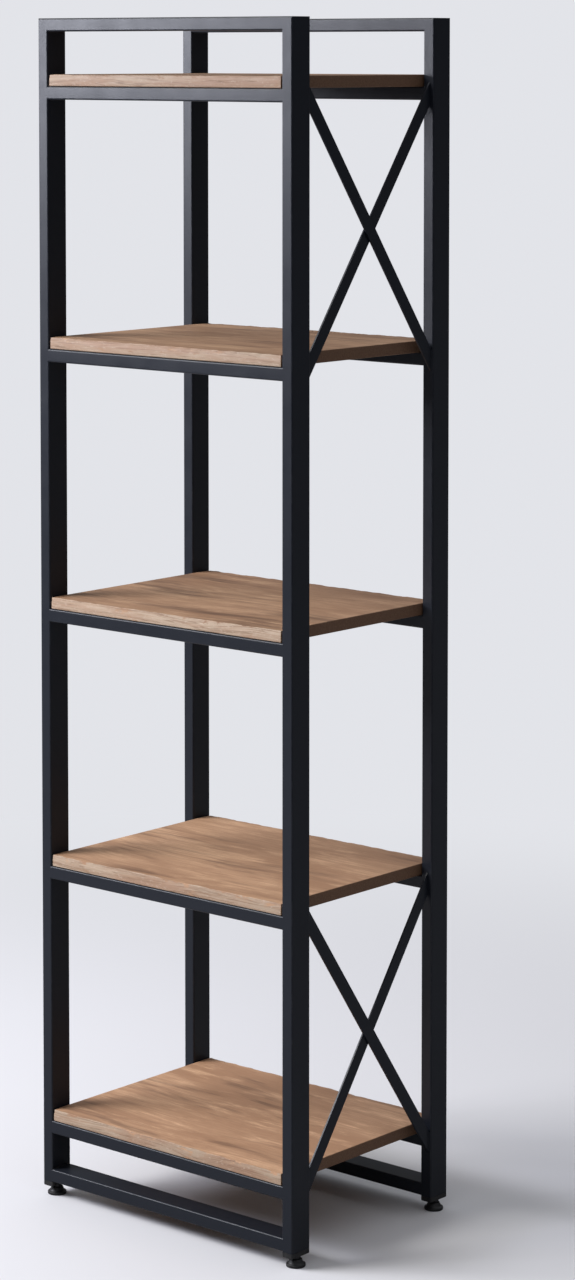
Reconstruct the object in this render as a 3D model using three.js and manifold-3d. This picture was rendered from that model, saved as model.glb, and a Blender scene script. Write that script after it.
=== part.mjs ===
// Narrow open bookcase, in millimetres, +Z up, its front facing -Y.
// Two welded ladder frames of rectangular steel tube stand one behind the other. Five wooden
// boards lie on their rails and tie them together, screwed down from below. Crossed flat bars
// brace the right side in the top and bottom bays. A plug in the foot of each post carries a
// levelling foot: a threaded stem with a ball end, and a pad that swivels on the ball.
// The origin is on the floor, under the middle of the bookcase.

import * as THREE from 'three';
import { mergeVertices } from 'three/addons/utils/BufferGeometryUtils.js';
import Module from 'manifold-3d';

// ---------- driving dimensions ----------

const CLEARANCE = 0.3;            // left between pieces that touch

const FRAME_WIDTH = 510;          // over the posts, side to side
const FRAME_DEPTH = 365;          // over both ladder frames, front to back
const FRAME_HEIGHT = 1800;        // top and base rails included, without plugs and feet

const TUBE_WIDTH = 20;            // the tube's narrow side: a post's front, a rail's height
const TUBE_DEPTH = 40;            // the tube's wide side, front to back
const TUBE_WALL = 1.5;
const TUBE_CORNER = 2.5;          // outside radius of the tube's corners

const SHELF_COUNT = 5;
const SHELF_PITCH = 400;
const FIRST_SEAT = 97;            // from the frame's underside to the lowest board's underside

const BOARD_THICKNESS = 18;
const BOARD_END_GAP = 2;          // between a board's end and the posts
const BOARD_SETBACK = 1;          // from the frame's front and back faces

const SCREW_RADIUS = 2;
const SCREW_GRIP = 12;            // thread length inside the board
const SCREW_POINT = 3;
const SCREW_HEAD_RADIUS = 4;
const SCREW_HEAD_HEIGHT = 2.4;
const SCREW_INSET = 65;           // from a post's inner face to the screw
const ACCESS_RADIUS = 5.5;        // hole in a rail's underside that the screw's head goes in by

const BRACE_WIDTH = 20;
const BRACE_THICKNESS = 3;
const BRACE_INSET = 4;            // from the posts' outer face to the outer bar

const PLUG_FLANGE = 8;            // what shows of the plug below the post
const PLUG_BEVEL = 1.2;
const PLUG_DEPTH = 18;            // what the post hides

const FOOT_HEIGHT = 16;           // from the floor to the plug's underside
const PAD_RADIUS = 14.5;
const PAD_CHAMFER = 1.5;
const PAD_LIP = 4;                // height of the pad's upright edge
const PAD_NECK_RADIUS = 8.6;
const PAD_HEIGHT = 11.3;
const PAD_FLOOR = 2.4;            // material left under the ball socket
const SOCKET_LIP = 1.4;           // depth of the lip that holds the ball in

const BALL_RADIUS = 4.6;
const BALL_NECK_RADIUS = 3;
const COLLAR_FLATS = 13;          // spanner size of the stem's six-sided collar
const COLLAR_HEIGHT = 3.6;
const STEM_RADIUS = 4;
const STEM_THREAD_LENGTH = 25;
const STEM_CHAMFER = 0.8;

// ---------- what follows from them ----------

const FRAME_BASE = FOOT_HEIGHT + PLUG_FLANGE;
const FRAME_TOP = FRAME_BASE + FRAME_HEIGHT;
const POST_X = (FRAME_WIDTH - TUBE_WIDTH) / 2;
const POST_Y = (FRAME_DEPTH - TUBE_DEPTH) / 2;
const CLEAR_WIDTH = FRAME_WIDTH - 2 * TUBE_WIDTH;
const CLEAR_DEPTH = FRAME_DEPTH - 2 * TUBE_DEPTH;
const SCREW_X = CLEAR_WIDTH / 2 - SCREW_INSET;
const HOLE_RADIUS = SCREW_RADIUS + CLEARANCE;

const SIDES = [{ name: 'left', sign: -1 }, { name: 'right', sign: 1 }];
const FACES = [{ name: 'front', sign: -1 }, { name: 'back', sign: 1 }];
const SHELVES = Array.from({ length: SHELF_COUNT }, (_, index) => index + 1);

const seatHeight = (shelf) => FRAME_BASE + FIRST_SEAT + (shelf - 1) * SHELF_PITCH;
const railHeight = (shelf) => seatHeight(shelf) - TUBE_WIDTH / 2;

// ---------- materials ----------

const powderCoat = () => new THREE.MeshStandardMaterial({ color: 0x2b2e36, roughness: 0.55, metalness: 0.1 });
const antiqueWood = () => new THREE.MeshStandardMaterial({ color: 0x8a6a50, roughness: 0.6, metalness: 0 });
const blackPlastic = () => new THREE.MeshStandardMaterial({ color: 0x17171a, roughness: 0.5, metalness: 0 });
const zincSteel = () => new THREE.MeshStandardMaterial({ color: 0xa9abae, roughness: 0.35, metalness: 0.9 });

// ---------- joining and cutting ----------

const wasm = await Module();
wasm.setup();

function toSolid(geometry) {
  const bare = geometry.index ? geometry.toNonIndexed() : geometry.clone();
  bare.deleteAttribute('normal');
  bare.deleteAttribute('uv');
  const merged = mergeVertices(bare, 1e-4);
  return new wasm.Manifold(new wasm.Mesh({
    numProp: 3,
    vertProperties: new Float32Array(merged.attributes.position.array),
    triVerts: new Uint32Array(merged.index.array),
  }));
}

function toGeometry(solid) {
  const mesh = solid.getMesh();
  const geometry = new THREE.BufferGeometry();
  geometry.setAttribute('position', new THREE.BufferAttribute(mesh.vertProperties, 3));
  geometry.setIndex(new THREE.BufferAttribute(mesh.triVerts, 1));
  geometry.computeVertexNormals();
  return geometry;
}

function cutAway(geometry, cutters) {
  return toGeometry(cutters.reduce((rest, cutter) => rest.subtract(toSolid(cutter)), toSolid(geometry)));
}

// ---------- outlines and round shapes ----------

function roundedRectangle(width, depth, radius, Outline = THREE.Shape) {
  const [x, y] = [width / 2, depth / 2];
  const outline = new Outline();
  outline.moveTo(x, -y + radius);
  outline.lineTo(x, y - radius);
  outline.absarc(x - radius, y - radius, radius, 0, Math.PI / 2);
  outline.lineTo(-x + radius, y);
  outline.absarc(-x + radius, y - radius, radius, Math.PI / 2, Math.PI);
  outline.lineTo(-x, -y + radius);
  outline.absarc(-x + radius, -y + radius, radius, Math.PI, 1.5 * Math.PI);
  outline.lineTo(x - radius, -y);
  outline.absarc(x - radius, -y + radius, radius, 1.5 * Math.PI, 2 * Math.PI);
  return outline;
}

// A length of the frame's tube, its narrow side along X, centred on the Z axis.
function tubeAlongZ(length) {
  const section = roundedRectangle(TUBE_WIDTH, TUBE_DEPTH, TUBE_CORNER);
  const bore = [TUBE_WIDTH - 2 * TUBE_WALL, TUBE_DEPTH - 2 * TUBE_WALL, TUBE_CORNER - TUBE_WALL];
  section.holes.push(roundedRectangle(...bore, THREE.Path));
  return new THREE.ExtrudeGeometry(section, { depth: length, bevelEnabled: false, curveSegments: 2 });
}

// The same tube lying along X, its narrow side upright, centred on the origin.
function tubeAlongX(length) {
  return tubeAlongZ(length).translate(0, 0, -length / 2).rotateY(Math.PI / 2);
}

function lathe(profile, segments) {
  return new THREE.LatheGeometry(profile.map(([r, z]) => new THREE.Vector2(r, z)), segments)
    .rotateX(Math.PI / 2);
}

function rod(radius, length, segments) {
  return new THREE.CylinderGeometry(radius, radius, length, segments).rotateX(Math.PI / 2);
}

// ---------- the frame ----------

// A block on one side of the mitre between a post and the top rail. Its centre plane is the
// 45 degree joint; removes is 1 for the side above it and -1 for the side below it.
function mitreBlock(side, removes) {
  const size = 4 * TUBE_DEPTH;
  const normal = new THREE.Vector3(-side, 0, 1).normalize();
  const offset = removes * (size - CLEARANCE) / 2;
  const block = new THREE.BoxGeometry(size, size, size).rotateY(-side * Math.PI / 4);
  return block.translate(normal.x * offset, 0, normal.z * offset);
}

function postGeometry(side) {
  const joint = mitreBlock(side, 1).translate(0, 0, FRAME_HEIGHT - TUBE_WIDTH / 2);
  return cutAway(tubeAlongZ(FRAME_HEIGHT), [joint]);
}

function topRailGeometry() {
  const joints = SIDES.map(({ sign }) => mitreBlock(sign, -1).translate(sign * POST_X, 0, 0));
  return cutAway(tubeAlongX(FRAME_WIDTH), joints);
}

function baseRailGeometry() {
  return tubeAlongX(CLEAR_WIDTH - 2 * CLEARANCE);
}

// The upper wall has a hole for each screw's shank, and the lower wall one for its head and the driver.
function shelfRailGeometry() {
  const drillLength = 3 * TUBE_WALL;
  const drills = SIDES.flatMap(({ sign }) => [
    rod(HOLE_RADIUS, drillLength, 10).translate(sign * SCREW_X, 0, TUBE_WIDTH / 2),
    rod(ACCESS_RADIUS, drillLength, 16).translate(sign * SCREW_X, 0, -TUBE_WIDTH / 2),
  ]);
  return cutAway(baseRailGeometry(), drills);
}

// ---------- boards and their screws ----------

function boardGeometry() {
  const length = CLEAR_WIDTH - 2 * BOARD_END_GAP;
  const depth = FRAME_DEPTH - 2 * BOARD_SETBACK;
  const board = new THREE.BoxGeometry(length, depth, BOARD_THICKNESS);
  const reach = SCREW_GRIP + CLEARANCE;
  const underside = -BOARD_THICKNESS / 2;
  const pilots = SIDES.flatMap((side) => FACES.map((face) =>
    rod(HOLE_RADIUS, 2 * reach, 10).translate(side.sign * SCREW_X, face.sign * POST_Y, underside)));
  return cutAway(board, pilots);
}

// The screw stands on its head. Its seat, under the rail's upper wall, is at height 0.
function screwGeometry() {
  const tip = TUBE_WALL + SCREW_GRIP;
  const crown = -SCREW_HEAD_HEIGHT;
  return lathe([
    [0, crown], [SCREW_HEAD_RADIUS * 0.6, crown], [SCREW_HEAD_RADIUS, crown / 2], [SCREW_HEAD_RADIUS, 0],
    [SCREW_RADIUS, 0], [SCREW_RADIUS, tip - SCREW_POINT], [0, tip],
  ], 10);
}

// ---------- side braces ----------

// A flat bar from post to post, its ends cut upright. It climbs by rise over the clear depth;
// direction is 1 when the back end is the high one.
function braceGeometry(rise, direction) {
  const reach = CLEAR_DEPTH / 2 - CLEARANCE;
  const slope = direction * rise / CLEAR_DEPTH;
  const halfCut = BRACE_WIDTH / 2 * Math.hypot(1, slope);
  const outline = new THREE.Shape([
    new THREE.Vector2(-reach, -slope * reach - halfCut),
    new THREE.Vector2(reach, slope * reach - halfCut),
    new THREE.Vector2(reach, slope * reach + halfCut),
    new THREE.Vector2(-reach, -slope * reach + halfCut),
  ]);
  const bar = new THREE.ExtrudeGeometry(outline, { depth: BRACE_THICKNESS, bevelEnabled: false });
  return bar.rotateX(Math.PI / 2).rotateZ(Math.PI / 2);
}

// ---------- plugs and feet ----------

// The plug's flange hangs below height 0, the post's cut end, and its body fills the tube's bore.
function plugGeometry() {
  const flange = new THREE.ExtrudeGeometry(roundedRectangle(TUBE_WIDTH, TUBE_DEPTH, TUBE_CORNER), {
    depth: PLUG_FLANGE - CLEARANCE - 2 * PLUG_BEVEL,
    bevelThickness: PLUG_BEVEL,
    bevelSize: PLUG_BEVEL,
    bevelOffset: -PLUG_BEVEL,
    bevelSegments: 1,
    curveSegments: 2,
  }).translate(0, 0, PLUG_BEVEL - PLUG_FLANGE);
  const margin = TUBE_WALL + CLEARANCE;
  const section = roundedRectangle(TUBE_WIDTH - 2 * margin, TUBE_DEPTH - 2 * margin, TUBE_CORNER - margin);
  const depth = PLUG_DEPTH + PLUG_FLANGE / 2;
  const body = new THREE.ExtrudeGeometry(section, { depth, bevelEnabled: false, curveSegments: 2 })
    .translate(0, 0, PLUG_DEPTH - depth);
  const bore = rod(STEM_RADIUS + CLEARANCE, 4 * PLUG_DEPTH, 16);
  return toGeometry(toSolid(flange).add(toSolid(body)).subtract(toSolid(bore)));
}

function padGeometry() {
  const socketRadius = BALL_RADIUS + CLEARANCE;
  const mouthRadius = (BALL_RADIUS + BALL_NECK_RADIUS) / 2 + CLEARANCE;
  return lathe([
    [0, 0], [PAD_RADIUS - PAD_CHAMFER, 0], [PAD_RADIUS, PAD_CHAMFER], [PAD_RADIUS, PAD_LIP],
    [PAD_NECK_RADIUS, PAD_HEIGHT], [mouthRadius, PAD_HEIGHT], [mouthRadius, PAD_HEIGHT - SOCKET_LIP],
    [socketRadius, PAD_HEIGHT - 2 * SOCKET_LIP], [socketRadius, PAD_FLOOR], [0, PAD_FLOOR],
  ], 20);
}

function stemGeometry() {
  const ballBase = PAD_FLOOR + CLEARANCE;
  const collarTop = FOOT_HEIGHT - 2 * CLEARANCE;
  const collarBase = collarTop - COLLAR_HEIGHT;
  const stemTop = collarTop + STEM_THREAD_LENGTH;
  const neckAngle = Math.PI - Math.asin(BALL_NECK_RADIUS / BALL_RADIUS);
  const ball = [1, 2, 3, 4].map((step) => {
    const angle = neckAngle * step / 4;
    return [BALL_RADIUS * Math.sin(angle), ballBase + BALL_RADIUS * (1 - Math.cos(angle))];
  });
  const shaft = lathe([
    [0, ballBase], ...ball, [BALL_NECK_RADIUS, collarBase + COLLAR_HEIGHT / 2],
    [STEM_RADIUS, collarBase + COLLAR_HEIGHT / 2], [STEM_RADIUS, stemTop - STEM_CHAMFER],
    [STEM_RADIUS - STEM_CHAMFER, stemTop], [0, stemTop],
  ], 12);
  const collar = rod(COLLAR_FLATS / Math.sqrt(3), COLLAR_HEIGHT, 6)
    .translate(0, 0, (collarBase + collarTop) / 2);
  return toGeometry(toSolid(shaft).add(toSolid(collar)));
}

// ---------- assembly ----------

const bookcase = new THREE.Group();

function place(parent, name, geometry, material, x, y, z) {
  const mesh = new THREE.Mesh(geometry, material);
  mesh.name = name;
  mesh.position.set(x, y, z);
  parent.add(mesh);
}

function ladderFrame(face) {
  const ladder = new THREE.Group();
  ladder.position.y = face.sign * POST_Y;
  for (const { name, sign } of SIDES) {
    const post = `post_${face.name}_${name}`;
    place(ladder, post, postGeometry(sign), powderCoat(), sign * POST_X, 0, FRAME_BASE);
  }
  const [topHeight, baseHeight] = [FRAME_TOP - TUBE_WIDTH / 2, FRAME_BASE + TUBE_WIDTH / 2];
  place(ladder, `top_rail_${face.name}`, topRailGeometry(), powderCoat(), 0, 0, topHeight);
  place(ladder, `base_rail_${face.name}`, baseRailGeometry(), powderCoat(), 0, 0, baseHeight);
  for (const shelf of SHELVES) {
    const rail = `shelf_${shelf}_rail_${face.name}`;
    place(ladder, rail, shelfRailGeometry(), powderCoat(), 0, 0, railHeight(shelf));
  }
  return ladder;
}

function board(shelf) {
  const group = new THREE.Group();
  group.position.z = seatHeight(shelf) + CLEARANCE;
  place(group, `shelf_${shelf}_board`, boardGeometry(), antiqueWood(), 0, 0, BOARD_THICKNESS / 2);
  for (const face of FACES) {
    for (const side of SIDES) {
      const name = `shelf_${shelf}_screw_${face.name}_${side.name}`;
      const [x, y] = [side.sign * SCREW_X, face.sign * POST_Y];
      place(group, name, screwGeometry(), zincSteel(), x, y, -TUBE_WALL - 2 * CLEARANCE);
    }
  }
  return group;
}

// Two crossed bars on the right side, face to face, from the rails of one shelf to the next.
function crossBrace(name, lowerShelf) {
  const cross = new THREE.Group();
  const centre = railHeight(lowerShelf) + SHELF_PITCH / 2;
  cross.position.set(FRAME_WIDTH / 2 - BRACE_INSET - BRACE_THICKNESS, 0, centre);
  const innerOffset = -BRACE_THICKNESS - CLEARANCE;
  place(cross, `${name}_brace_outer`, braceGeometry(SHELF_PITCH, -1), powderCoat(), 0, 0, 0);
  place(cross, `${name}_brace_inner`, braceGeometry(SHELF_PITCH, 1), powderCoat(), innerOffset, 0, 0);
  return cross;
}

function foot(face, side) {
  const corner = new THREE.Group();
  corner.position.set(side.sign * POST_X, face.sign * POST_Y, 0);
  const label = `${face.name}_${side.name}`;
  place(corner, `end_plug_${label}`, plugGeometry(), blackPlastic(), 0, 0, FRAME_BASE);
  place(corner, `foot_pad_${label}`, padGeometry(), blackPlastic(), 0, 0, 0);
  place(corner, `foot_stem_${label}`, stemGeometry(), zincSteel(), 0, 0, 0);
  return corner;
}

for (const face of FACES) {
  bookcase.add(ladderFrame(face));
  for (const side of SIDES) bookcase.add(foot(face, side));
}
for (const shelf of SHELVES) bookcase.add(board(shelf));
bookcase.add(crossBrace('lower', 1));
bookcase.add(crossBrace('upper', SHELF_COUNT - 1));

export default bookcase;
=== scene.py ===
from math import asin, atan2, cos, pi, radians, sin, sqrt

import bmesh
import bpy
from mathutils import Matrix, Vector


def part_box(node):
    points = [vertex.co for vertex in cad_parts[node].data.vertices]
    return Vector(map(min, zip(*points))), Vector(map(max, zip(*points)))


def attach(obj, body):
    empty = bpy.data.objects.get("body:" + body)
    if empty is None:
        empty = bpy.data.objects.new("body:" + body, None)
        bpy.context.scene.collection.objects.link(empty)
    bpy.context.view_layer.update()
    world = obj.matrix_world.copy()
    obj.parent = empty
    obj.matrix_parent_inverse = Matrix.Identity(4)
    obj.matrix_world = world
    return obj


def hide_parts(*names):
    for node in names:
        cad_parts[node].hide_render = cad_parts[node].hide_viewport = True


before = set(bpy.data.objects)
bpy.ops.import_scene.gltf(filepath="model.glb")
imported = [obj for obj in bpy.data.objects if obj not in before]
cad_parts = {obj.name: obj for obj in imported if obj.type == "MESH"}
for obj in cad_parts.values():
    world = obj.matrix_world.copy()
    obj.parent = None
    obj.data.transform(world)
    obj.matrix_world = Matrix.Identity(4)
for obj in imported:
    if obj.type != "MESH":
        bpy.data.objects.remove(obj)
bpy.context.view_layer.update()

print("frame loaded:", len(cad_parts), "CAD nodes")

mm = 0.001
faceNames = ("front", "back")
sideNames = ("left", "right")
bays = ("lower", "upper")           # the two bays that are braced
layers = ("outer", "inner")         # the two bars of a cross
corners = [(face, side) for face in faceNames for side in sideNames]
shelves = (1, 2, 3, 4, 5)

# what the frame says about sizes and places, in metres
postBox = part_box("post_front_left")
tubeWidth = postBox[1].x - postBox[0].x
tubeDepth = postBox[1].y - postBox[0].y
postX = -(postBox[0].x + postBox[1].x) / 2
postY = -(postBox[0].y + postBox[1].y) / 2
frameBase = postBox[0].z
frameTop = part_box("top_rail_front")[1].z
seats = {shelf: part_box(f"shelf_{shelf}_rail_front")[1].z for shelf in shelves}
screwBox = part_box("shelf_1_screw_front_right")
screwX = (screwBox[0].x + screwBox[1].x) / 2
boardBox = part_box("shelf_1_board")
sideX = {"left": -postX, "right": postX}
faceY = {"front": -postY, "back": postY}
braceTilt = atan2(seats[2] - seats[1], 2 * (postY - tubeDepth / 2))


def cornerPlace(face, side):        # where a post's middle line meets the floor
    return (sideX[side], faceY[face], 0)


# small helpers for materials

def newMaterial(name):
    material = bpy.data.materials.new(name)
    material.use_nodes = True
    return material, material.node_tree, material.node_tree.nodes["Principled BSDF"]


def add(tree, kind, settings=(), **inputs):
    node = tree.nodes.new("ShaderNode" + kind)
    for key, value in dict(settings).items():
        setattr(node, key, value)
    for key, value in inputs.items():
        connect(tree, node, key.replace("_", " "), value)
    return node


def connect(tree, node, key, value):       # a socket is linked, anything else is set
    socket = node.inputs[key]
    if isinstance(value, bpy.types.NodeSocket):
        tree.links.new(value, socket)
    else:
        socket.default_value = value


def calculate(tree, operation, *values):
    node = tree.nodes.new("ShaderNodeMath")
    node.operation = operation
    for index, value in enumerate(values):
        connect(tree, node, index, value)
    return node.outputs[0]


def blendColours(tree, amount, first, second, mode="MIX"):
    node = tree.nodes.new("ShaderNodeMix")
    node.data_type = "RGBA"
    node.blend_type = mode
    connect(tree, node, 0, amount)
    connect(tree, node, 6, first)
    connect(tree, node, 7, second)
    return node.outputs[2]


def blendShaders(tree, amount, first, second):
    node = add(tree, "MixShader", Fac=amount)
    tree.links.new(first, node.inputs[1])
    tree.links.new(second, node.inputs[2])
    return node.outputs["Shader"]


def stretched(tree, source, scale, place=(0, 0, 0)):
    return add(tree, "Mapping", Vector=source, Scale=scale, Location=place).outputs["Vector"]


noiseSpan = (0.3, 0.7)              # most of a noise lies between these


def noise(tree, source, scale, detail=2.0, roughness=0.5, distortion=0.0):
    return add(tree, "TexNoise", Vector=source, Scale=scale, Detail=detail,
               Roughness=roughness, Distortion=distortion).outputs["Fac"]


def remap(tree, value, low, high, toLow, toHigh, smoothly=False):
    kind = "SMOOTHSTEP" if smoothly else "LINEAR"
    node = add(tree, "MapRange", {"interpolation_type": kind}, Value=value)
    for key, number in (("From Min", low), ("From Max", high), ("To Min", toLow), ("To Max", toHigh)):
        node.inputs[key].default_value = number
    return node.outputs["Result"]


def bump(tree, height, distance, strength=1.0, after=None):
    node = add(tree, "Bump", Height=height, Distance=distance, Strength=strength)
    if after is not None:
        tree.links.new(after, node.inputs["Normal"])
    return node.outputs["Normal"]


# camera, light and floor

view = {
    "place": (3.4290, -3.8712, 1.7740),
    "turn": 40.79,                  # degrees round from facing the bookcase squarely
    "tilt": 3.834,                  # degrees down
    "lens": 95.96,
    "shift": -0.28125,
}

lamps = {                           # place, what it points at, width and height, watts, colour
    "keySoftbox": ((-2.6, -3.1, 4.3), (0, 0, 0.8), (2.2, 2.2), 198, (1.0, 0.985, 0.965)),
    "topReflectionPanel": ((-2.45, -2.07, 2.02), (0, 0, 1.74), (1.9, 0.74), 99, (0.93, 0.945, 1.06)),
}

studio = {
    "floorSize": 400.0,
    "floorColour": (0.76, 0.76, 0.78, 1),
    "floorRoughness": 0.6,
    "bounceColour": (0.36, 0.36, 0.37, 1),    # what the floor gives back to the bookcase
    "litRadius": 0.9,                         # beyond it the floor's tone grows steady
    "steadyRadius": 2.7,
    "horizon": (0.04, 0.041, 0.046, 1),
    "zenith": (0.60, 0.61, 0.64, 1),
    "skyFade": (0.15, 0.85),                  # how high the sky starts to brighten, and where it stops
    "farTone": (0.765, 0.775, 0.815, 1),
}


def aimAt(thing, target):
    direction = Vector(target) - thing.location
    thing.rotation_euler = direction.to_track_quat("-Z", "Y").to_euler()


def makeCamera():
    bpy.ops.object.camera_add(location=view["place"])
    camera = bpy.context.object
    camera.rotation_euler = (radians(90 - view["tilt"]), 0, radians(view["turn"]))
    camera.data.lens = view["lens"]
    camera.data.shift_y = view["shift"]
    bpy.context.scene.camera = camera


def makeLamps():
    for name, (place, target, size, watts, colour) in lamps.items():
        bpy.ops.object.light_add(type="AREA", location=place)
        lamp = bpy.context.object
        lamp.name = name
        lamp.data.shape = "RECTANGLE"
        lamp.data.size, lamp.data.size_y = size
        lamp.data.energy = watts
        lamp.data.color = colour
        aimAt(lamp, target)


def makeFloor():                    # it stays pale to the eye however far the light reaches
    bpy.ops.mesh.primitive_plane_add(size=studio["floorSize"])
    floor = bpy.context.object
    floor.name = "floor"
    paint, tree, lit = newMaterial("paleFloor")
    lit.inputs["Base Color"].default_value = studio["floorColour"]
    lit.inputs["Roughness"].default_value = studio["floorRoughness"]
    steady = add(tree, "Emission", Color=studio["farTone"])
    place = add(tree, "TexCoord").outputs["Object"]
    far = add(tree, "VectorMath", {"operation": "LENGTH"}, Vector=place).outputs["Value"]
    fade = remap(tree, far, studio["litRadius"], studio["steadyRadius"], 0, 1, True)
    seen = blendShaders(tree, fade, lit.outputs["BSDF"], steady.outputs["Emission"])
    bounce = add(tree, "BsdfDiffuse", Color=studio["bounceColour"])
    byCamera = add(tree, "LightPath").outputs["Is Camera Ray"]
    surface = blendShaders(tree, byCamera, bounce.outputs["BSDF"], seen)
    tree.links.new(surface, tree.nodes["Material Output"].inputs["Surface"])
    floor.data.materials.append(paint)


def makeSky():                      # a pale backdrop to look at, and light that comes mostly from above
    world = bpy.data.worlds.new("studio")
    world.use_nodes = True
    tree = world.node_tree
    direction = add(tree, "TexCoord").outputs["Generated"]
    height = add(tree, "SeparateXYZ", Vector=direction).outputs["Z"]
    rise = remap(tree, height, *studio["skyFade"], 0, 1, True)
    lighting = tree.nodes["Background"]
    tree.links.new(blendColours(tree, rise, studio["horizon"], studio["zenith"]), lighting.inputs["Color"])
    seen = add(tree, "Background", Color=studio["farTone"])
    byCamera = add(tree, "LightPath").outputs["Is Camera Ray"]
    surface = blendShaders(tree, byCamera, lighting.outputs["Background"], seen.outputs["Background"])
    tree.links.new(surface, tree.nodes["World Output"].inputs["Surface"])
    bpy.context.scene.world = world
    bpy.context.scene.view_settings.view_transform = "Standard"


bpy.ops.object.select_all(action="DESELECT")     # loading leaves the CAD nodes selected
makeCamera()
makeLamps()
makeFloor()
makeSky()
print("camera, lamps and floor ready")


# small helpers for modelling

def clearSelection():
    bpy.ops.object.select_all(action="DESELECT")


def pick(piece):
    clearSelection()
    piece.select_set(True)
    bpy.context.view_layer.objects.active = piece


def named(name):
    piece = bpy.context.object
    piece.name = name
    piece.data.name = name
    return piece


def applyPlace(piece):
    pick(piece)
    bpy.ops.object.transform_apply(location=True, rotation=True, scale=True)


def block(name, low, high):
    clearSelection()
    low, high = Vector(low), Vector(high)
    bpy.ops.mesh.primitive_cube_add(size=1, location=(low + high) / 2, scale=high - low)
    piece = named(name)
    applyPlace(piece)
    return piece


def startEditing(piece):
    pick(piece)
    bpy.ops.object.mode_set(mode="EDIT")


def stopEditing():
    bpy.ops.object.mode_set(mode="OBJECT")


def choose(piece, kind, test):
    bpy.ops.mesh.select_mode(type=kind)
    bpy.ops.mesh.select_all(action="DESELECT")
    shape = bmesh.from_edit_mesh(piece.data)
    items = {"VERT": shape.verts, "EDGE": shape.edges, "FACE": shape.faces}[kind]
    for item in items:
        if test(item):
            item.select_set(True)
    shape.select_flush_mode()       # picks up what the chosen items enclose
    bmesh.update_edit_mesh(piece.data)


def runsAlong(edge, axis):
    step = edge.verts[1].co - edge.verts[0].co
    return abs(step[axis]) > 0.999 * step.length


seamWidth = 0.001 * mm              # points nearer than this become one


onPlane = 0.0001 * mm               # points nearer to a cut than this lie on it


def cutOff(planeCo, planeNo, keepBelow=True):    # a flat cut whose open face is closed again
    bpy.ops.mesh.select_all(action="SELECT")
    bpy.ops.mesh.bisect(plane_co=planeCo, plane_no=planeNo, use_fill=True, threshold=onPlane,
                        clear_outer=keepBelow, clear_inner=not keepBelow)


def applyModifier(piece, kind, **settings):
    pick(piece)
    modifier = piece.modifiers.new(kind.lower(), kind)
    for key, value in settings.items():
        setattr(modifier, key, value)
    bpy.ops.object.modifier_apply(modifier=modifier.name)


smallPieceAngle = 35                # degrees, for turned and moulded pieces


def smooth(piece, angle=30):        # edges sharper than the angle, in degrees, stay crisp
    pick(piece)
    bpy.ops.object.shade_smooth_by_angle(angle=radians(angle))
    applyModifier(piece, "WEIGHTED_NORMAL", keep_sharp=True, weight=100)


def drill(piece, centre, radius, depth, sides):
    clearSelection()
    bpy.ops.mesh.primitive_cylinder_add(vertices=sides, radius=radius, depth=depth, location=centre)
    cutter = named("cutter")
    applyModifier(piece, "BOOLEAN", object=cutter, operation="DIFFERENCE", solver="EXACT")
    putAway(cutter)


def copyOf(model, name, move=(0, 0, 0), turn=0):
    pick(model)
    bpy.ops.object.duplicate(linked=False)
    piece = named(name)
    piece.location = move
    piece.rotation_euler.z = turn
    applyPlace(piece)
    return piece


def putAway(model):
    bpy.data.objects.remove(model, do_unlink=True)


def hand(piece, body, slot, *replaced):     # its body, its finish (not used) and the CAD nodes it stands for
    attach(piece, body)
    if replaced:
        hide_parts(*replaced)


def drawLine(name, points):         # a chain of edges in the XZ plane, drawn point by point
    clearSelection()
    bpy.ops.mesh.primitive_plane_add(size=mm)
    piece = named(name)
    startEditing(piece)
    bpy.ops.mesh.select_mode(type="VERT")
    bpy.ops.mesh.select_all(action="SELECT")
    bpy.ops.mesh.merge(type="CENTER")
    here = Vector((0, 0, 0))
    for index, (x, z) in enumerate(points):
        step = Vector((x, 0, z)) - here
        if index == 0:
            bpy.ops.transform.translate(value=step)
        else:
            bpy.ops.mesh.extrude_region_move(TRANSFORM_OT_translate={"value": step})
        here += step
    stopEditing()
    return piece


def rounded(corners, steps=4):      # corners are radius, height and fillet
    points = []
    for index, (x, z, fillet) in enumerate(corners):
        here = Vector((x, z))
        if fillet == 0:
            points.append(here)
            continue
        before = (Vector(corners[index - 1][:2]) - here).normalized()
        after = (Vector(corners[index + 1][:2]) - here).normalized()
        inward = (before + after).normalized()
        sideways = (after - before).normalized()
        half = before.angle(after) / 2
        centre = here + inward * fillet / sin(half)
        for step in range(steps + 1):
            turn = (step / steps - 0.5) * (pi - 2 * half)
            points.append(centre + fillet * (sideways * sin(turn) - inward * cos(turn)))
    return points


def turned(name, points, steps):    # the line spun round the Z axis
    piece = drawLine(name, points)
    startEditing(piece)
    bpy.ops.mesh.select_all(action="SELECT")
    bpy.ops.mesh.spin(steps=steps, angle=2 * pi, center=(0, 0, 0), axis=(0, 0, 1))
    bpy.ops.mesh.select_all(action="SELECT")
    bpy.ops.mesh.remove_doubles(threshold=seamWidth)
    bpy.ops.mesh.normals_make_consistent(inside=False)
    stopEditing()
    return piece


def joined(name, pieces):
    clearSelection()
    for piece in pieces:
        piece.select_set(True)
    bpy.context.view_layer.objects.active = pieces[0]
    bpy.ops.object.join()
    return named(name)


# the finishes

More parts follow.
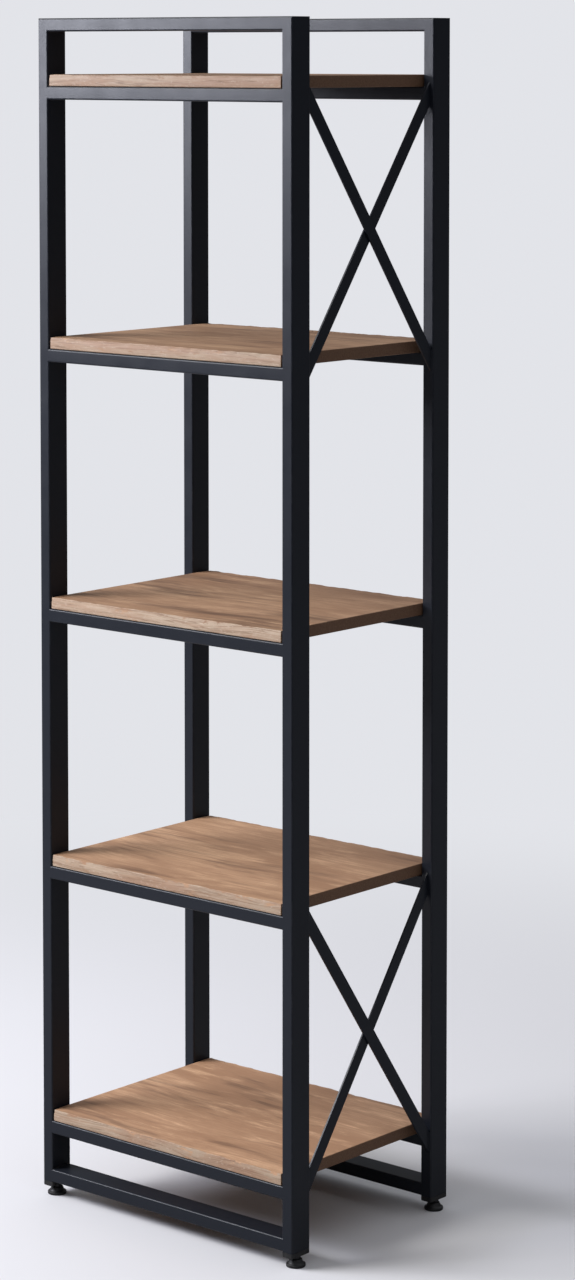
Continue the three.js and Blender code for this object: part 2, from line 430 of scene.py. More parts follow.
coat = {
    "colour": (0.0135, 0.0162, 0.0230, 1),
    "rubbed": (0.040, 0.044, 0.052, 1),       # where hands and cloths have polished the corners
    "gloss": 0.25,
    "roughness": (0.31, 0.39),
    "peelScale": 850,                         # bumps of orange peel per metre
    "peelDepth": 0.035 * mm,
    "sagScale": 60,
    "sagDepth": 0.10 * mm,
    "cloudScale": 22,
    "cornerFacing": (0.96, 0.80),             # how squarely a face lies where rubbing starts, and is full
    "rubScale": 45,
    "rubPatches": (0.42, 0.68),
    "rubShare": 0.6,
    "rubShine": 0.07,
}


def powderCoat(name, tilt=0.0):     # tilt lays a sloping bar level, so that its flats aren't taken for edges
    material, tree, shader = newMaterial(name)
    spot = add(tree, "TexCoord")
    place, normal = spot.outputs["Object"], spot.outputs["Normal"]
    level = add(tree, "VectorRotate", {"rotation_type": "X_AXIS"}, Vector=normal, Angle=tilt)
    parts = add(tree, "SeparateXYZ", Vector=level.outputs["Vector"])
    sizes = [calculate(tree, "ABSOLUTE", parts.outputs[axis]) for axis in range(3)]
    flattest = calculate(tree, "MAXIMUM", calculate(tree, "MAXIMUM", sizes[0], sizes[1]), sizes[2])
    edge = remap(tree, flattest, *coat["cornerFacing"], 0, 1, True)
    patches = remap(tree, noise(tree, place, coat["rubScale"], 5, 0.65), *coat["rubPatches"], 0, 1, True)
    rubbed = calculate(tree, "MULTIPLY", edge, patches)
    share = calculate(tree, "MULTIPLY", rubbed, coat["rubShare"])
    tree.links.new(blendColours(tree, share, coat["colour"], coat["rubbed"]), shader.inputs["Base Color"])
    rough = remap(tree, noise(tree, place, coat["cloudScale"], 4), *noiseSpan, *coat["roughness"])
    shine = calculate(tree, "MULTIPLY", rubbed, coat["rubShine"])
    tree.links.new(calculate(tree, "SUBTRACT", rough, shine), shader.inputs["Roughness"])
    sag = bump(tree, noise(tree, place, coat["sagScale"], 2), coat["sagDepth"], 0.5)
    peel = bump(tree, noise(tree, place, coat["peelScale"], 2), coat["peelDepth"], 0.6, sag)
    tree.links.new(peel, shader.inputs["Normal"])
    shader.inputs["Specular IOR Level"].default_value = coat["gloss"]
    return material


plastic = {
    "colour": (0.010, 0.010, 0.011, 1),
    "dusty": (0.030, 0.029, 0.027, 1),
    "roughness": (0.42, 0.58),
    "shineScale": 260,
    "dustScale": 90,
    "dustPatches": (0.45, 0.75),
    "dustShare": 0.7,
    "textureScale": 1400,
    "textureDepth": 0.03 * mm,
}


def mouldedPlastic():
    material, tree, shader = newMaterial("blackPlastic")
    place = add(tree, "TexCoord").outputs["Object"]
    specks = noise(tree, place, plastic["dustScale"], 5, 0.6)
    dust = remap(tree, specks, *plastic["dustPatches"], 0, plastic["dustShare"], True)
    colour = blendColours(tree, dust, plastic["colour"], plastic["dusty"])
    tree.links.new(colour, shader.inputs["Base Color"])
    shine = remap(tree, noise(tree, place, plastic["shineScale"], 3), *noiseSpan, *plastic["roughness"])
    tree.links.new(shine, shader.inputs["Roughness"])
    texture = noise(tree, place, plastic["textureScale"], 2)
    tree.links.new(bump(tree, texture, plastic["textureDepth"], 0.5), shader.inputs["Normal"])
    return material


zinc = {
    "colour": (0.56, 0.57, 0.58, 1),
    "dull": (0.34, 0.35, 0.37, 1),
    "roughness": (0.24, 0.44),
    "patchScale": 180,
    "patches": (0.4, 0.7),
    "markScale": 300,
    "markStretch": (1, 1, 12),
    "markDepth": 0.02 * mm,
}


def zincPlate():
    material, tree, shader = newMaterial("zincPlatedSteel")
    place = add(tree, "TexCoord").outputs["Object"]
    patchy = noise(tree, place, zinc["patchScale"], 5, 0.6)
    dullness = remap(tree, patchy, *zinc["patches"], 0, 1, True)
    tree.links.new(blendColours(tree, dullness, zinc["colour"], zinc["dull"]), shader.inputs["Base Color"])
    tree.links.new(remap(tree, patchy, *noiseSpan, *zinc["roughness"]), shader.inputs["Roughness"])
    marks = noise(tree, stretched(tree, place, zinc["markStretch"]), zinc["markScale"], 3)
    tree.links.new(bump(tree, marks, zinc["markDepth"], 0.4), shader.inputs["Normal"])
    shader.inputs["Metallic"].default_value = 1.0
    return material


timber = {
    "honey": (0.50, 0.325, 0.200, 1),
    "tan": (0.385, 0.240, 0.146, 1),
    "brown": (0.205, 0.115, 0.066, 1),
    "dark": (0.070, 0.038, 0.023, 1),
    "chalk": (0.590, 0.470, 0.365, 1),
    "cream": (0.475, 0.360, 0.258, 1),
    "peach": (0.395, 0.247, 0.163, 1),
    "endGrain": (0.150, 0.078, 0.046, 1),
    "rough": (0.50, 0.68),
    "gloss": 0.35,
    "fibreDepth": 0.16 * mm,
    "poreDip": -0.5,                # how much deeper a pore lies than the fibres stand
    "ringCount": 15.0,
    "ringLine": (0.03, 0.75),
    "ringShare": 0.42,
    "topPores": 0.6,
    "edgePores": 0.4,
    "veinLevel": 0.52,
    "veinWidth": 0.030,
    "veinShare": 0.7,
    "drift": (3.0, 0.05),           # scale and reach of the slow bend in the grain
    "paleLip": (1.6 * mm, 0.4 * mm),          # between these the pale edge fades into the top
    "lipWander": (-1.6 * mm, 3.8 * mm),
    "sawnEnd": (0.9 * mm, 0.2 * mm),
    "endScale": 420,
    # painted light: the board tops are brightened, most on the lowest board, where the boards above shade
    # them
    "topPaintedLight": (1.95, 1.10),        # lowest board, highest board
    # painted shade: the front edges darken from the middle board up to the top board, where the light on
    # them is strongest
    "edgePaintedShade": (1.0, 0.76),
}

grain = {                           # stretch, offset, scale, detail, roughness, distortion
    "growth": ((0.9, 6.5, 6.5), (0, 0, 0), 2.0, 2.0, 0.5, 0.0),
    "broad": ((1.0, 3.4, 3.4), (3, 1, 2), 2.6, 5.0, 0.6, 0.0),
    "scuffs": ((1.2, 5.0, 5.0), (1, 6, 4), 6.0, 6.0, 0.68, 0.0),
    "fibres": ((1, 38, 38), (0, 0, 0), 9.0, 6.0, 0.62, 0.0),
    "fineFibres": ((1, 55, 55), (0, 0, 0), 14.0, 4.0, 0.6, 0.0),
    "streaks": ((0.8, 9.0, 9.0), (7, 2, 5), 3.4, 5.0, 0.62, 0.0),
    "pores": ((1, 26, 26), (0, 0, 0), 34.0, 3.0, 0.7, 0.0),
    "edgePatches": ((1.0, 2.0, 5.0), (5, 3, 1), 5.0, 4.0, 0.6, 0.0),
    "edgeStreaks": ((1, 22, 60), (0, 0, 0), 7.0, 5.0, 0.62, 0.6),
    "edgeVeins": ((1, 9, 42), (2, 8, 3), 4.0, 3.0, 0.5, 0.8),
    "edgeShade": ((1, 6, 16), (4, 1, 6), 9.0, 5.0, 0.65, 0.0),
    "edgeSpeckle": ((1, 1.6, 2.4), (0, 0, 0), 160.0, 4.0, 0.6, 0.0),
    "lip": ((1, 3, 3), (0, 0, 0), 30.0, 6.0, 0.65, 0.0),
}

strength = {                        # where a pattern starts to show, is full, and how much it covers
    "broad": (0.36, 0.64, 1),
    "scuffs": (0.50, 0.70, 0.75),
    "fibres": (0.36, 0.66, 0.66),
    "fineFibres": (0.48, 0.66, 0.45),
    "streaks": (0.52, 0.71, 0.68),
    "pores": (0.60, 0.74, 1),
    "edgePatches": (0.42, 0.62, 1),
    "edgeStreaks": (0.46, 0.66, 0.75),
    "edgeShade": (0.52, 0.70, 0.5),
    "edgeSpeckle": (0.54, 0.72, 0.45),
    "endFigure": (0.35, 0.65, 1),
}


def figure(tree, source, name):
    stretch, offset, *settings = grain[name]
    return noise(tree, stretched(tree, source, stretch, offset), *settings)


def cover(tree, value, name, smoothly=True):
    low, high, most = strength[name]
    return remap(tree, value, low, high, 0, most, smoothly)


def tinted(tree, colour, source, name, tint, smoothly=True):
    return blendColours(tree, cover(tree, figure(tree, source, name), name, smoothly), colour, timber[tint])


def grainLines(tree, place):        # growth rings cut lengthwise, as thin wandering lines
    hills = calculate(tree, "MULTIPLY", figure(tree, place, "growth"), timber["ringCount"])
    return remap(tree, calculate(tree, "PINGPONG", hills, 1.0), *timber["ringLine"], 1, 0, True)


def boardTop(tree, place, grainPlace, fibres, pores):
    colour = tinted(tree, timber["tan"], place, "broad", "brown")
    colour = tinted(tree, colour, place, "scuffs", "honey")
    rings = calculate(tree, "MULTIPLY", grainLines(tree, grainPlace), timber["ringShare"])
    colour = blendColours(tree, rings, colour, timber["brown"])
    colour = blendColours(tree, cover(tree, fibres, "fibres", False), colour, timber["brown"])
    colour = tinted(tree, colour, grainPlace, "fineFibres", "brown", False)
    colour = tinted(tree, colour, grainPlace, "streaks", "dark")
    deepPores = calculate(tree, "MULTIPLY", pores, timber["topPores"])
    return blendColours(tree, deepPores, colour, timber["dark"])


def boardEdge(tree, place, grainPlace, pores):
    colour = tinted(tree, timber["cream"], place, "edgePatches", "peach")
    colour = tinted(tree, colour, grainPlace, "edgeStreaks", "peach")
    veins = calculate(tree, "SUBTRACT", figure(tree, grainPlace, "edgeVeins"), timber["veinLevel"])
    line = remap(tree, calculate(tree, "ABSOLUTE", veins), 0, timber["veinWidth"], timber["veinShare"], 0)
    colour = blendColours(tree, line, colour, timber["brown"])
    colour = tinted(tree, colour, grainPlace, "edgeShade", "tan")
    colour = tinted(tree, colour, place, "edgeSpeckle", "chalk")
    deepPores = calculate(tree, "MULTIPLY", pores, timber["edgePores"])
    return blendColours(tree, deepPores, colour, timber["brown"])


def bentGrain(tree, place):         # pushed slowly to and fro, so that the grain isn't dead straight
    scale, reach = timber["drift"]
    drift = add(tree, "TexNoise", Vector=place, Scale=scale, Detail=2.0)
    bend = add(tree, "VectorMath", {"operation": "SCALE"}, Vector=drift.outputs["Color"], Scale=reach)
    added = add(tree, "VectorMath", {"operation": "ADD"})
    tree.links.new(place, added.inputs[0])
    tree.links.new(bend.outputs[0], added.inputs[1])
    return added.outputs[0]


def fromEdge(tree, half, along):    # how far a point lies in from either edge of the board
    return calculate(tree, "SUBTRACT", half, calculate(tree, "ABSOLUTE", along))


def antiqueWood(halfLength, halfDepth, lowest, highest):
    material, tree, shader = newMaterial("antiqueWood")
    place = add(tree, "TexCoord").outputs["Object"]
    grainPlace = bentGrain(tree, place)
    fibres = figure(tree, grainPlace, "fibres")
    pores = cover(tree, figure(tree, place, "pores"), "pores")
    parts = add(tree, "SeparateXYZ", Vector=place)
    # painted light on the tops, strongest on the lowest board, which the boards above shade
    topPaintedLight = remap(tree, parts.outputs["Z"], lowest, highest, *timber["topPaintedLight"])
    top = blendColours(tree, 1.0, boardTop(tree, place, grainPlace, fibres, pores), topPaintedLight, "MULTIPLY")
    # painted shade on the front edges, deepening towards the top board
    edgePaintedShade = remap(tree, parts.outputs["Z"], (lowest + highest) / 2, highest, *timber["edgePaintedShade"])
    pale = blendColours(tree, 1.0, boardEdge(tree, place, grainPlace, pores), edgePaintedShade, "MULTIPLY")
    # the sawn front and back edges are paler, and their wear runs over the upper corner
    wander = remap(tree, figure(tree, place, "lip"), *noiseSpan, *timber["lipWander"])
    lip = calculate(tree, "SUBTRACT", fromEdge(tree, halfDepth, parts.outputs["Y"]), wander)
    colour = blendColours(tree, remap(tree, lip, *timber["paleLip"], 0, 1, True), top, pale)
    # the ends show dark end grain
    endFigure = cover(tree, noise(tree, place, timber["endScale"], 4, 0.6), "endFigure", False)
    endColour = blendColours(tree, endFigure, timber["endGrain"], timber["brown"])
    end = remap(tree, fromEdge(tree, halfLength, parts.outputs["X"]), *timber["sawnEnd"], 0, 1, True)
    tree.links.new(blendColours(tree, end, colour, endColour), shader.inputs["Base Color"])
    tree.links.new(remap(tree, fibres, *noiseSpan, *timber["rough"]), shader.inputs["Roughness"])
    dips = calculate(tree, "MULTIPLY", pores, timber["poreDip"])
    relief = bump(tree, calculate(tree, "ADD", fibres, dips), timber["fibreDepth"], 0.8)
    tree.links.new(relief, shader.inputs["Normal"])
    shader.inputs["Specular IOR Level"].default_value = timber["gloss"]
    return material


coated = powderCoat("charcoalPowderCoat")
blackPlastic = mouldedPlastic()
zincSteel = zincPlate()
wood = antiqueWood(boardBox[1].x, boardBox[1].y, seats[1], seats[5])
print("finishes ready")


# tubes of the two ladder frames

tube = {
    "wall": 1.5 * mm,
    "corner": 2.5 * mm,
    "cornerSteps": 5,
    "bite": 2.4 * mm,               # how far a rail's end runs into a post's rounded corner
    "accessHole": 5.5 * mm,         # radii of the holes for the shelf screws
    "shankHole": 2.3 * mm,
    "holeSides": 28,
}


def makeTube(name, low, high, axis):        # rounded, hollow and open at both ends along the axis
    piece = block(name, low, high)
    startEditing(piece)
    choose(piece, "FACE", lambda face: abs(face.normal[axis]) > 0.9)
    bpy.ops.mesh.delete(type="ONLY_FACE")
    choose(piece, "EDGE", lambda edge: runsAlong(edge, axis))
    bpy.ops.mesh.bevel(offset=tube["corner"], segments=tube["cornerSteps"], affect="EDGES")
    stopEditing()
    applyModifier(piece, "SOLIDIFY", thickness=tube["wall"], offset=-1, use_even_offset=True)
    return piece


def makePosts():
    halfWidth, halfDepth = tubeWidth / 2, tubeDepth / 2
    low, high = (-halfWidth, -halfDepth, frameBase), (halfWidth, halfDepth, frameTop)
    model = makeTube("postModel", low, high, 2)
    startEditing(model)
    cutOff((-halfWidth, 0, frameTop), (1, 0, 1))     # the mitre: outer side full height
    stopEditing()
    smooth(model)
    model.data.materials.append(coated)
    for face, side in corners:
        halfTurn = pi if side == "right" else 0
        post = copyOf(model, f"post_{face}_{side}_tube", cornerPlace(face, side), halfTurn)
        hand(post, "root", "frame_paint", f"post_{face}_{side}")
    putAway(model)


def makeTopRails():
    outer = postX + tubeWidth / 2
    halfDepth = tubeDepth / 2
    low, high = (-outer, -halfDepth, frameTop - tubeWidth), (outer, halfDepth, frameTop)
    model = makeTube("topRailModel", low, high, 0)
    startEditing(model)
    cutOff((-outer, 0, frameTop), (-1, 0, -1))
    cutOff((outer, 0, frameTop), (1, 0, -1))
    stopEditing()
    smooth(model)
    model.data.materials.append(coated)
    for face in faceNames:
        rail = copyOf(model, f"top_rail_{face}_tube", (0, faceY[face], 0))
        hand(rail, "root", "frame_paint", f"top_rail_{face}")
    putAway(model)


def makeRails():
    reach = postX - tubeWidth / 2 + tube["bite"]
    halfDepth = tubeDepth / 2
    model = makeTube("railModel", (-reach, -halfDepth, -tubeWidth), (reach, halfDepth, 0), 0)
    model.data.materials.append(coated)
    drilled = copyOf(model, "drilledRailModel")
    drillDepth = 4 * tube["wall"]   # through one wall and clear of the other
    for x in (-screwX, screwX):
        drill(drilled, (x, 0, -tubeWidth), tube["accessHole"], drillDepth, tube["holeSides"])
        drill(drilled, (x, 0, 0), tube["shankHole"], drillDepth, tube["holeSides"])
    smooth(model)
    smooth(drilled)
    for face in faceNames:
        rail = copyOf(model, f"base_rail_{face}_tube", (0, faceY[face], frameBase + tubeWidth))
        hand(rail, "root", "frame_paint", f"base_rail_{face}")
        for shelf in shelves:
            rail = copyOf(drilled, f"shelf_{shelf}_rail_{face}_tube", (0, faceY[face], seats[shelf]))
            hand(rail, "root", "frame_paint", f"shelf_{shelf}_rail_{face}")
    putAway(model)
    putAway(drilled)


makePosts()
makeTopRails()
makeRails()
print("ladder frames ready")


# crossed braces on the right side

brace = {"width": 20 * mm, "edge": 0.5 * mm, "edgeSteps": 2}


def makeBraces():
    for bay in bays:
        for layer in layers:
            node = f"{bay}_brace_{layer}"
            low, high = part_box(node)
            centre = (low + high) / 2
            halfLength = (high - low).length / 2 + brace["width"]     # too long, and cut off at the posts
            piece = block(node + "_bar", (low.x, -halfLength, -brace["width"] / 2),
                          (high.x, halfLength, brace["width"] / 2))
            piece.rotation_euler.x = braceTilt * (-1 if layer == "outer" else 1)
            piece.location = (0, centre.y, centre.z)
            applyPlace(piece)
            startEditing(piece)
            cutOff((0, high.y, 0), (0, 1, 0))
            cutOff((0, low.y, 0), (0, -1, 0))
            choose(piece, "EDGE", lambda edge: True)
            bpy.ops.mesh.bevel(offset=brace["edge"], segments=brace["edgeSteps"], affect="EDGES")
            stopEditing()
            smooth(piece)
            piece.data.materials.append(braceCoats[layer])
            hand(piece, "root", "frame_paint", node)


braceCoats = {
    "outer": powderCoat("charcoalPowderCoatFalling", braceTilt),
    "inner": powderCoat("charcoalPowderCoatRising", -braceTilt),
}
makeBraces()
print("braces ready")


# boards

boardShape = {
    "edge": 1.4 * mm,
    "edgeSteps": 3,
    "cutsAlong": 150,
    "cutsAcross": 24,
    "cutsThrough": 4,
    "smoothAngle": 40,
    "wornBand": 2.2 * mm,           # how far in from the front and back the wear reaches
    "wornHeight": 4.5 * mm,         # and how far down from the top
    "wornDepth": 2.4 * mm,
    "stillLevel": 0.2,              # waves above it cut into the wood, the few below it stand proud
    "waveLength": 17 * mm,
    "waveDetail": 3,
}


def makeBoards():
    low, high = boardBox
    thickness = high.z - low.z
    model = block("boardModel", (low.x, low.y, 0), (high.x, high.y, thickness))
    startEditing(model)
    bpy.ops.mesh.select_all(action="SELECT")
    bpy.ops.mesh.bevel(offset=boardShape["edge"], segments=boardShape["edgeSteps"], affect="EDGES")
    sizes = (high.x - low.x, high.y - low.y, thickness)
    cuts = (boardShape["cutsAlong"], boardShape["cutsAcross"], boardShape["cutsThrough"])
    for axis in range(3):           # only the long edges between the rounded corners are divided
        shortest = sizes[axis] - 4 * boardShape["edge"]
        choose(model, "EDGE", lambda edge: runsAlong(edge, axis) and edge.calc_length() > shortest)
        bpy.ops.mesh.subdivide(number_cuts=cuts[axis])
    stopEditing()
    for shelf in shelves:
        piece = copyOf(model, f"shelf_{shelf}_plank", (0, 0, seats[shelf] + low.z - seats[1]))
        wearEdges(piece, shelf)
        smooth(piece, boardShape["smoothAngle"])
        piece.data.materials.append(wood)
        hand(piece, "root", "board_wood", f"shelf_{shelf}_board")
    putAway(model)


def wearEdges(piece, shelf):        # waves in the upper front and back edges, different on each board
    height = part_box(f"shelf_{shelf}_board")[1].z - boardShape["wornHeight"]
    reach = boardBox[1].y - boardShape["wornBand"]
    startEditing(piece)
    choose(piece, "VERT", lambda vert: abs(vert.co.y) > reach and vert.co.z > height)
    bpy.ops.object.vertex_group_add()
    bpy.ops.object.vertex_group_assign()
    stopEditing()
    waves = bpy.data.textures.new(f"edgeWaves{shelf}", "CLOUDS")
    waves.noise_scale = boardShape["waveLength"]
    waves.noise_depth = boardShape["waveDetail"]
    applyModifier(piece, "DISPLACE", texture=waves, texture_coords="LOCAL", vertex_group="Group",
                  strength=-boardShape["wornDepth"], mid_level=boardShape["stillLevel"])
    piece.vertex_groups.clear()


makeBoards()
print("boards ready")


# screws that hold the boards

screw = {
    "headRadius": 4.0 * mm,
    "headHeight": 2.4 * mm,
    "neckRadius": 1.5 * mm,
    "crestRadius": 2.0 * mm,
    "pitch": 1.8 * mm,
    "point": 3.0 * mm,
    "pointScales": (0.55, 0.3),                   # drawn in over the whole point, then over its last third
    "recess": (3.6 * mm, 0.9 * mm, 1.3 * mm),     # length, width and depth of the cross
    "domeSteps": 6,
    "domeFullness": 0.8,
    "rim": 0.3 * mm,
    "rimBevel": 0.15 * mm,
    "headSides": 28,
    "threadSides": 12,
}

threadForm = {                      # shares of the pitch
    "bothFlats": 0.25,              # at the root and at the crest together
    "crestFlat": 0.12,
}


def threaded(name, root, crest, pitch, length, steps):     # a closed thread standing on height 0
    flank = (pitch - threadForm["bothFlats"] * pitch) / 2
    crestFlat = threadForm["crestFlat"] * pitch
    outline = (
        (root, 0), (crest, flank), (crest, flank + crestFlat), (root, 2 * flank + crestFlat), (root, pitch),
    )
    piece = drawLine(name, outline)
    turns = int(length / pitch) + 3           # more than is needed, to be cut off square at both ends
    applyModifier(piece, "SCREW", screw_offset=pitch, iterations=turns, steps=steps, render_steps=steps,
                  use_merge_vertices=True, merge_threshold=seamWidth)
    startEditing(piece)
    bpy.ops.mesh.select_all(action="SELECT")
    bpy.ops.mesh.remove_doubles(threshold=seamWidth)
    bpy.ops.transform.translate(value=(0, 0, -1.5 * pitch))
    cutOff((0, 0, 0), (0, 0, 1), keepBelow=False)
    cutOff((0, 0, length), (0, 0, 1))
    bpy.ops.mesh.select_all(action="SELECT")
    bpy.ops.mesh.normals_make_consistent(inside=False)
    stopEditing()
    return piece


def taper(piece, start, scale):     # draws in what lies above a height
    startEditing(piece)
    choose(piece, "VERT", lambda vert: vert.co.z > start)
    bpy.ops.transform.resize(value=(scale, scale, 1), center_override=(0, 0, 0))
    stopEditing()


def makeScrews():
    length = screwBox[1].z - screwBox[0].z - screw["headHeight"]
    radius, height = screw["headRadius"], screw["headHeight"]
    turns = [step * pi / 2 / screw["domeSteps"] for step in range(screw["domeSteps"])]
    dome = [(radius * sin(turn), -height * cos(turn) ** screw["domeFullness"]) for turn in turns]
    rim = [(radius, -screw["rim"]), (radius - screw["rimBevel"], 0), (0, 0)]
    head = turned("screwHead", dome + rim, screw["headSides"])
    long, wide, deep = screw["recess"]
    for half in ((long / 2, wide / 2), (wide / 2, long / 2)):
        cutter = block("recess", (-half[0], -half[1], -height - mm), (half[0], half[1], -height + deep))
        applyModifier(head, "BOOLEAN", object=cutter, operation="DIFFERENCE", solver="EXACT")
        putAway(cutter)
    shank = threaded("screwShank", screw["neckRadius"], screw["crestRadius"], screw["pitch"], length,
                     screw["threadSides"])
    taper(shank, length - screw["point"], screw["pointScales"][0])
    taper(shank, length - screw["point"] / 3, screw["pointScales"][1])
    model = joined("screwModel", [head, shank])
    model.data.materials.clear()
    model.data.materials.append(zincSteel)
    smooth(model, smallPieceAngle)
    for shelf in shelves:
        for face, side in corners:
            node = f"shelf_{shelf}_screw_{face}_{side}"
            low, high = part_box(node)
            place = ((low.x + high.x) / 2, (low.y + high.y) / 2, low.z + height)
            hand(copyOf(model, node + "_threaded", place), "root", "zinc_steel", node)
    putAway(model)


makeScrews()
print("screws ready")


# weld beads

bead = {
    "radius": 1.6 * mm,
    "railLength": 34 * mm,
    "braceLength": 30 * mm,
    "sides": 10,
    "ripples": 15,
    "rippleScale": 0.88,
    "endScale": 0.6,
    "smoothAngle": 60,
}


def makeBead(name, length):         # lies along Y, rippled, with drawn-in ends
    clearSelection()
    bpy.ops.mesh.primitive_cylinder_add(vertices=bead["sides"], radius=bead["radius"], depth=length,
                                        rotation=(pi / 2, 0, 0))
    piece = named(name)
    applyPlace(piece)
    spacing = length / (2 * bead["ripples"])
    narrow, end = bead["rippleScale"], bead["endScale"]
    startEditing(piece)
    choose(piece, "EDGE", lambda edge: runsAlong(edge, 1))
    bpy.ops.mesh.subdivide(number_cuts=2 * bead["ripples"] - 1)
    choose(piece, "VERT", lambda vert: round((vert.co.y + length / 2) / spacing) % 2 == 0)
    bpy.ops.transform.resize(value=(narrow, 1, narrow), center_override=(0, 0, 0))
    choose(piece, "VERT", lambda vert: abs(vert.co.y) > length / 2 - spacing / 2)
    bpy.ops.transform.resize(value=(end, 1, end), center_override=(0, 0, 0))
    stopEditing()
    smooth(piece, bead["smoothAngle"])
    piece.data.materials.append(coated)
    return piece


def weldRails():                    # under each rail where it meets the posts, and over the base rails too
    model = makeBead("beadModel", bead["railLength"])
    inner = postX - tubeWidth / 2
    heights = {
        "mitre": frameTop - tubeWidth,
        "base_under": frameBase,
        "base_over": frameBase + tubeWidth,
    }
    heights.update({f"shelf_{shelf}": seats[shelf] - tubeWidth for shelf in shelves})
    for face, side in corners:
        x = inner if side == "right" else -inner
        for name, z in heights.items():
            piece = copyOf(model, f"weld_{name}_{face}_{side}", (x, faceY[face], z))
            hand(piece, "root", "frame_paint")
    putAway(model)


def weldBraces():                   # upright, at both ends of each bar
    model = makeBead("uprightBeadModel", bead["braceLength"])
    model.rotation_euler.x = pi / 2
    applyPlace(model)
    half = brace["width"] / cos(braceTilt) / 2
    for bay in bays:
        for layer in layers:
            low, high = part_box(f"{bay}_brace_{layer}")
            x = high.x if layer == "outer" else low.x
            ends = {"front": (low.y, high.z - half), "back": (high.y, low.z + half)}
            if layer == "inner":
                ends = {"front": (low.y, low.z + half), "back": (high.y, high.z - half)}
            for face, (y, z) in ends.items():
                piece = copyOf(model, f"weld_{bay}_brace_{layer}_{face}", (x, y, z))
                hand(piece, "root", "frame_paint")
    putAway(model)


weldRails()
weldBraces()
print("weld beads ready")


# end plugs and levelling feet

plugShape = {
    "corner": 2.5 * mm,
    "cornerSteps": 5,
    "lowerEdge": 1.8 * mm,
    "lowerSteps": 4,
    "flangeGap": 0.3 * mm,          # between the flange and the end of the tube
    "bodyGap": 1.8 * mm,            # from the tube's outside to the plug's body
    "fins": 3,
    "finReach": 0.25 * mm,
    "finHeight": 1.2 * mm,
    "bore": 4.3 * mm,
    "boreSides": 32,
}

insertShape = {                     # the threaded steel sleeve in a plug's bore
    "radius": 6.2 * mm,
    "height": 9 * mm,
    "proud": 0.2 * mm,              # how far it stands out below the plug
    "bevel": 0.3 * mm,
    "sides": 32,
}

padShape = {                        # millimetres, from the sole round to the ball's socket
    "corners": [
        (0, 0.5, 0), (10.4, 0.5, 0), (10.9, 0, 0), (14.5, 0, 1.3), (14.5, 4.4, 0.9), (11.7, 5.0, 4.0),
        (9.0, 11.3, 1.0), (4.4, 11.3, 0.7), (4.4, 9.9, 0), (5.0, 8.6, 0), (5.0, 2.4, 0.3), (0, 2.4, 0),
    ],
    "sides": 64,
}

stemShape = {
    "ball": 4.6 * mm,
    "neck": 3.0 * mm,
    "ballSteps": 12,
    "ballSides": 40,
    "root": 3.25 * mm,
    "crest": 3.97 * mm,
    "pitch": 1.25 * mm,
    "threadSides": 28,
    "tip": 0.9 * mm,
    "tipScale": 0.86,
}

collarShape = {                     # the six-sided collar moulded round a stem, to turn it by
    "bottom": 11.8 * mm,
    "top": 15.4 * mm,
    "flats": 13 * mm,               # across two opposite flats
    "bevel": 0.5 * mm,
    "rimSteps": 3,
    "cornerSteps": 2,
}


def placeAtCorners(model, family, ending, rides, slot, standsFor=True):
    for face, side in corners:
        node = f"{family}_{face}_{side}"
        body = "root" if rides == "root" else f"{rides}_{face}_{side}"
        piece = copyOf(model, node + ending, cornerPlace(face, side))
        hand(piece, body, slot, *([node] if standsFor else []))
    putAway(model)


def riseBy(height):                 # extrudes what is selected straight up
    bpy.ops.mesh.extrude_region_move(TRANSFORM_OT_translate={"value": (0, 0, height)})


def stepTo(scaleX, scaleY):         # extrudes what is selected sideways, as a level step
    riseBy(0)
    bpy.ops.transform.resize(value=(scaleX, scaleY, 1), center_override=(0, 0, 0))


def growFins(bodyX, bodyY, height):
    reach = plugShape["finReach"]
    widerX, widerY = (bodyX + reach) / bodyX, (bodyY + reach) / bodyY
    step = height / plugShape["fins"] - plugShape["finHeight"]
    for fin in range(plugShape["fins"]):
        riseBy(step)
        stepTo(widerX, widerY)
        riseBy(plugShape["finHeight"])
        if fin < plugShape["fins"] - 1:
            stepTo(1 / widerX, 1 / widerY)


def makePlugs():
    low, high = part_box("end_plug_front_left")
    halfWidth, halfDepth = (high.x - low.x) / 2, (high.y - low.y) / 2
    flangeTop = frameBase - plugShape["flangeGap"]
    model = block("plugModel", (-halfWidth, -halfDepth, low.z), (halfWidth, halfDepth, flangeTop))
    startEditing(model)
    choose(model, "EDGE", lambda edge: runsAlong(edge, 2))
    bpy.ops.mesh.bevel(offset=plugShape["corner"], segments=plugShape["cornerSteps"], affect="EDGES")
    choose(model, "FACE", lambda face: face.normal.z < -0.9)
    bpy.ops.mesh.region_to_loop()
    bpy.ops.mesh.bevel(offset=plugShape["lowerEdge"], segments=plugShape["lowerSteps"], affect="EDGES")
    choose(model, "FACE", lambda face: face.normal.z > 0.9)
    gap = plugShape["bodyGap"]
    bpy.ops.mesh.inset(thickness=gap, use_even_offset=True)
    growFins(halfWidth - gap, halfDepth - gap, high.z - flangeTop)
    stopEditing()
    middle, rightThrough = (low.z + high.z) / 2, 3 * (high.z - low.z)
    drill(model, (0, 0, middle), plugShape["bore"], rightThrough, plugShape["boreSides"])
    smooth(model, smallPieceAngle)
    model.data.materials.append(blackPlastic)
    placeAtCorners(model, "end_plug", "_moulded", "root", "black_plastic")


def makeInserts():
    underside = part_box("end_plug_front_left")[0].z
    foot, top = underside - insertShape["proud"], underside + insertShape["height"]
    inner, outer, bevel = plugShape["bore"], insertShape["radius"], insertShape["bevel"]
    outline = [
        (inner, top), (inner, foot + bevel), (inner + bevel, foot),
        (outer - bevel, foot), (outer, foot + bevel), (outer, top), (inner, top),
    ]
    model = turned("insertModel", outline, insertShape["sides"])
    smooth(model, smallPieceAngle)
    model.data.materials.append(zincSteel)
    placeAtCorners(model, "thread_insert", "", "root", "zinc_steel", standsFor=False)


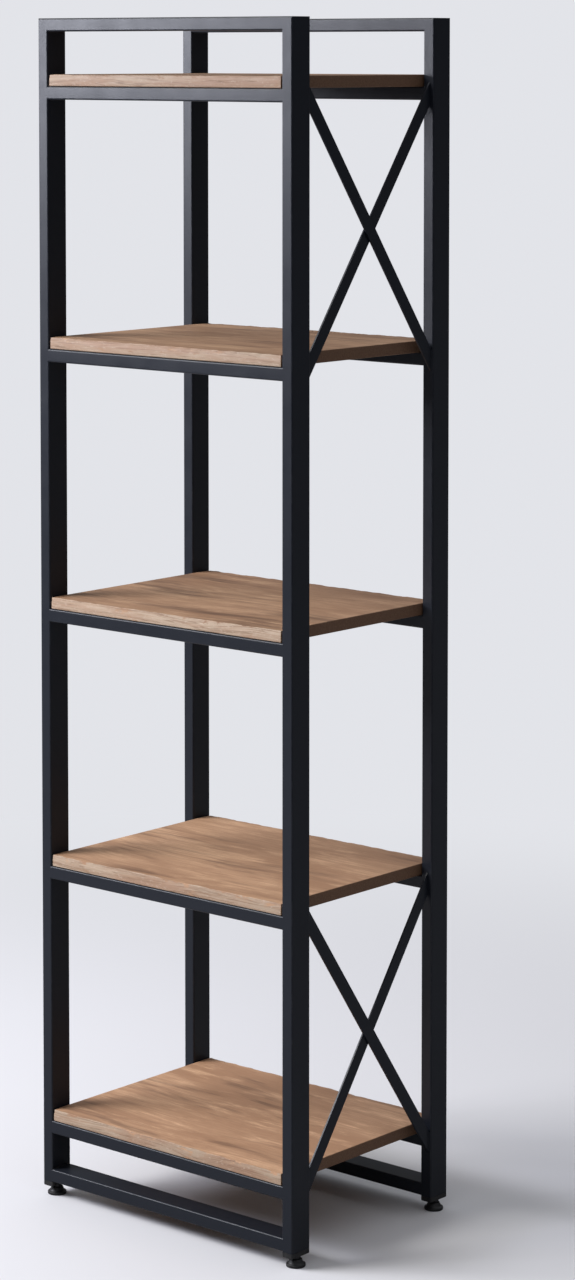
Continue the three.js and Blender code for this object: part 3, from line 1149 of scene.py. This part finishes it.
def makePads():
    outline = [point * mm for point in rounded(padShape["corners"])]
    model = turned("padModel", outline, padShape["sides"])
    smooth(model, smallPieceAngle)
    model.data.materials.append(blackPlastic)
    placeAtCorners(model, "foot_pad", "_bell", "foot", "black_plastic")


def makeStems():
    low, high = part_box("foot_stem_front_left")
    radius, neck, top = stemShape["ball"], stemShape["neck"], collarShape["top"]
    steps = stemShape["ballSteps"]
    neckAngle = pi - asin(neck / radius)
    turns = [neckAngle * step / steps for step in range(steps + 1)]
    arc = [(radius * sin(turn), low.z + radius * (1 - cos(turn))) for turn in turns]
    ball = turned("stemBall", [*arc, (neck, top), (0, top)], stemShape["ballSides"])
    length = high.z - top
    thread = threaded("stemThread", stemShape["root"], stemShape["crest"], stemShape["pitch"], length,
                      stemShape["threadSides"])
    taper(thread, length - stemShape["tip"], stemShape["tipScale"])
    thread.location.z = top
    applyPlace(thread)
    model = joined("stemModel", [ball, thread])
    model.data.materials.clear()
    model.data.materials.append(zincSteel)
    smooth(model, smallPieceAngle)
    placeAtCorners(model, "foot_stem", "_threaded", "stem", "zinc_steel")


def makeCollars():
    low, high = collarShape["bottom"], collarShape["top"]
    radius = collarShape["flats"] / sqrt(3)       # from the middle to a corner of the hexagon
    clearSelection()
    bpy.ops.mesh.primitive_cylinder_add(vertices=6, radius=radius, depth=high - low,
                                        location=(0, 0, (low + high) / 2))
    model = named("collarModel")
    applyPlace(model)
    startEditing(model)
    choose(model, "EDGE", lambda edge: not runsAlong(edge, 2))
    bpy.ops.mesh.bevel(offset=collarShape["bevel"], segments=collarShape["rimSteps"], affect="EDGES")
    choose(model, "EDGE", lambda edge: runsAlong(edge, 2))
    bpy.ops.mesh.bevel(offset=collarShape["bevel"], segments=collarShape["cornerSteps"], affect="EDGES")
    stopEditing()
    smooth(model, smallPieceAngle)
    model.data.materials.append(blackPlastic)
    placeAtCorners(model, "foot_collar", "_moulded", "stem", "black_plastic", standsFor=False)


makePlugs()
makeInserts()
makePads()
makeStems()
makeCollars()
print("plugs and feet ready")
